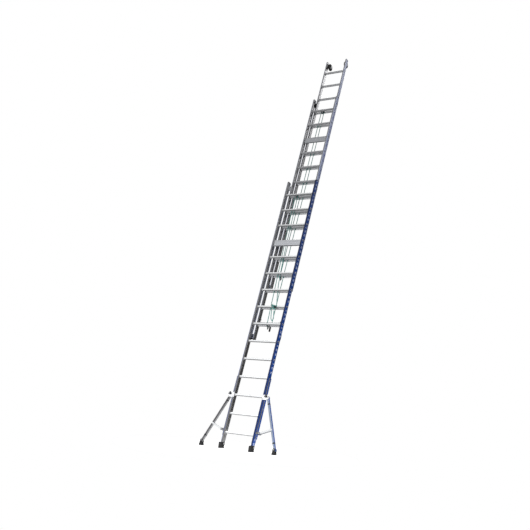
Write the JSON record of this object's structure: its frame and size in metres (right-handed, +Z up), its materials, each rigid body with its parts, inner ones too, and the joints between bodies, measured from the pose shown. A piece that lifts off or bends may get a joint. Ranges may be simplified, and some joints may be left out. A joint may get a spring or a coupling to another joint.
{
  "type": "extension ladder",
  "caption": "Leaning rope-operated extension ladder of three sliding sections with hinged rung hooks, pulleys, wall wheels and folding side stabilisers.",
  "frame": {"origin": "on the floor, midway between the two base shoes, under the base section's centre line", "axes": "+X is the climber's right, +Y points to the wall the ladder leans on, +Z up; the ladder leans 16 degrees from +Z towards +Y"},
  "size_m": [1.294, 2.1736, 6.6136],
  "materials": {
    "stile_aluminium": "mill aluminium, outer faces blue",
    "rung_aluminium": "ribbed satin",
    "black_plastic": "moulded, fine grain",
    "zinc_steel": "zinc plated",
    "cast_hook": "pressed steel",
    "black_steel": "black coated",
    "plate_white": "blank white sheet",
    "slider_aluminium": "satin",
    "leg_aluminium": "outer faces blue",
    "blue_rail": "blue powder coat",
    "shoe_rubber": "ribbed",
    "wheel_rubber": "worn tread",
    "rope_teal": "braided polypropylene"
  },
  "bodies": {
    "base_section": {"base_stile_left": "stile_aluminium", "base_stile_right": "stile_aluminium", "base_rungs": "rung_aluminium", "base_top_caps": "black_plastic", "base_guides": "zinc_steel", "base_guide_liners": "black_plastic", "base_label_plate": "plate_white", "base_pulley_bracket": "zinc_steel", "base_shoe_pins": "zinc_steel", "rope_cleat": "black_plastic", "middle_rope_lift": "rope_teal", "middle_rope_fall": "rope_teal", "middle_rope_tail": "rope_teal", "stabiliser_rails": "blue_rail", "strut_pins": "zinc_steel"},
    "base_pulley": {"base_pulley_wheel": "black_plastic"},
    "base_shoe_left": {"base_shoe_left": "shoe_rubber"},
    "base_shoe_right": {"base_shoe_right": "shoe_rubber"},
    "middle_section": {"middle_stile_left": "stile_aluminium", "middle_stile_right": "stile_aluminium", "middle_rungs": "rung_aluminium", "middle_top_caps": "black_plastic", "middle_glides": "black_plastic", "middle_guides": "black_plastic", "middle_label_plate": "plate_white", "middle_pulley_bracket": "zinc_steel", "middle_hook_lugs": "zinc_steel", "middle_rope_knot": "rope_teal", "fly_rope_lift": "rope_teal", "fly_rope_fall": "rope_teal", "fly_rope_hook": "black_steel"},
    "middle_pulley": {"middle_pulley_wheel": "black_plastic"},
    "middle_hook_set": {"middle_hooks": "cast_hook", "middle_hook_shaft": "zinc_steel"},
    "fly_section": {"fly_stile_left": "stile_aluminium", "fly_stile_right": "stile_aluminium", "fly_rungs": "rung_aluminium", "fly_top_caps": "black_plastic", "fly_glides": "black_plastic", "fly_hook_lugs": "zinc_steel", "fly_rope_knot": "rope_teal", "wheel_brackets": "zinc_steel"},
    "fly_hook_set": {"fly_hooks": "cast_hook", "fly_hook_shaft": "zinc_steel"},
    "wheel_left": {"wall_wheel_left": "wheel_rubber"},
    "wheel_right": {"wall_wheel_right": "wheel_rubber"},
    "slider_left": {"stabiliser_slider_left": "slider_aluminium", "slider_bolt_left": "zinc_steel"},
    "knob_left": {"clamp_knob_left": "black_plastic"},
    "leg_left": {"stabiliser_leg_left": "leg_aluminium", "leg_cap_left": "black_plastic"},
    "strut_left": {"stabiliser_strut_left": "zinc_steel"},
    "foot_left": {"stabiliser_foot_left": "shoe_rubber"},
    "slider_right": {"stabiliser_slider_right": "slider_aluminium", "slider_bolt_right": "zinc_steel"},
    "knob_right": {"clamp_knob_right": "black_plastic"},
    "leg_right": {"stabiliser_leg_right": "leg_aluminium", "leg_cap_right": "black_plastic"},
    "strut_right": {"stabiliser_strut_right": "zinc_steel"},
    "foot_right": {"stabiliser_foot_right": "shoe_rubber"}
  },
  "joints": [
    {"name": "middle_slide", "type": "slide", "parent": "base_section", "child": "middle_section", "axis": [0, 0.2756, 0.9613], "range_m": [-1.62, 1.4], "deforming": ["middle_rope_lift"]},
    {"name": "fly_slide", "type": "slide", "parent": "middle_section", "child": "fly_section", "axis": [0, 0.2756, 0.9613], "range_m": [-0.82, 2.24], "deforming": ["fly_rope_lift"]},
    {"name": "base_pulley_spin", "type": "hinge", "parent": "base_section", "child": "base_pulley", "pos_m": [-0.077, 1.17225, 3.9811], "axis": [0, 0.9613, -0.2756], "continuous": true},
    {"name": "middle_pulley_spin", "type": "hinge", "parent": "middle_section", "child": "middle_pulley", "pos_m": [-0.02, 1.70165, 5.57701], "axis": [0, 0.9613, -0.2756], "continuous": true},
    {"name": "middle_hook_swing", "type": "hinge", "parent": "middle_section", "child": "middle_hook_set", "pos_m": [0, 0.585, 1.85876], "axis": [1, 0, 0], "range_deg": [0, 130]},
    {"name": "fly_hook_swing", "type": "hinge", "parent": "fly_section", "child": "fly_hook_set", "pos_m": [0, 0.8771, 2.64885], "axis": [1, 0, 0], "range_deg": [0, 130]},
    {"name": "wheel_left_spin", "type": "hinge", "parent": "fly_section", "child": "wheel_left", "pos_m": [-0.154, 2.06361, 6.52912], "axis": [1, 0, 0], "continuous": true},
    {"name": "base_shoe_left_swivel", "type": "hinge", "parent": "base_section", "child": "base_shoe_left", "pos_m": [-0.2565, 0.01709, 0.0596], "axis": [1, 0, 0], "range_deg": [-10, 10]},
    {"name": "stabiliser_left_fold", "type": "slide", "parent": "base_section", "child": "slider_left", "axis": [0, 0.2756, 0.9613], "range_m": [0, 0.16323]},
    {"name": "clamp_knob_left_turn", "type": "hinge", "parent": "slider_left", "child": "knob_left", "pos_m": [-0.31, 0.17024, 0.7751], "axis": [0, 0.9613, -0.2756], "continuous": true},
    {"name": "leg_left_swing", "type": "hinge", "parent": "slider_left", "child": "leg_left", "pos_m": [-0.325, 0.215, 0.74978], "axis": [0, -0.9613, 0.2756], "range_deg": [0, 22.83]},
    {"name": "strut_left_swing", "type": "hinge", "parent": "base_section", "child": "strut_left", "pos_m": [-0.325, 0.07304, 0.25473], "axis": [0, 0.9613, -0.2756], "range_deg": [0, 68.41]},
    {"name": "foot_left_swivel", "type": "hinge", "parent": "leg_left", "child": "foot_left", "pos_m": [-0.624, 0.01874, 0.06537], "axis": [0, 0.9613, -0.2756], "range_deg": [0, 20]},
    {"name": "wheel_right_spin", "type": "hinge", "parent": "fly_section", "child": "wheel_right", "pos_m": [0.154, 2.06361, 6.52912], "axis": [1, 0, 0], "continuous": true},
    {"name": "base_shoe_right_swivel", "type": "hinge", "parent": "base_section", "child": "base_shoe_right", "pos_m": [0.2565, 0.01709, 0.0596], "axis": [1, 0, 0], "range_deg": [-10, 10]},
    {"name": "stabiliser_right_fold", "type": "slide", "parent": "base_section", "child": "slider_right", "axis": [0, 0.2756, 0.9613], "range_m": [0, 0.16323]},
    {"name": "clamp_knob_right_turn", "type": "hinge", "parent": "slider_right", "child": "knob_right", "pos_m": [0.31, 0.17024, 0.7751], "axis": [0, 0.9613, -0.2756], "continuous": true},
    {"name": "leg_right_swing", "type": "hinge", "parent": "slider_right", "child": "leg_right", "pos_m": [0.325, 0.215, 0.74978], "axis": [0, 0.9613, -0.2756], "range_deg": [0, 22.83]},
    {"name": "strut_right_swing", "type": "hinge", "parent": "base_section", "child": "strut_right", "pos_m": [0.325, 0.07304, 0.25473], "axis": [0, -0.9613, 0.2756], "range_deg": [0, 68.41]},
    {"name": "foot_right_swivel", "type": "hinge", "parent": "leg_right", "child": "foot_right", "pos_m": [0.624, 0.01874, 0.06537], "axis": [0, -0.9613, 0.2756], "range_deg": [0, 20]}
  ],
  "couplings": [
    {"joint": "base_pulley_spin", "follows": "middle_slide", "rad_per_m": 38.462},
    {"joint": "middle_pulley_spin", "follows": "fly_slide", "rad_per_m": 38.462},
    {"joint": "leg_left_swing", "follows": "stabiliser_left_fold", "rad_per_m": 2.4358},
    {"joint": "strut_left_swing", "follows": "stabiliser_left_fold", "rad_per_m": 7.3092},
    {"joint": "leg_right_swing", "follows": "stabiliser_right_fold", "rad_per_m": 2.4358},
    {"joint": "strut_right_swing", "follows": "stabiliser_right_fold", "rad_per_m": 7.3092}
  ]
}
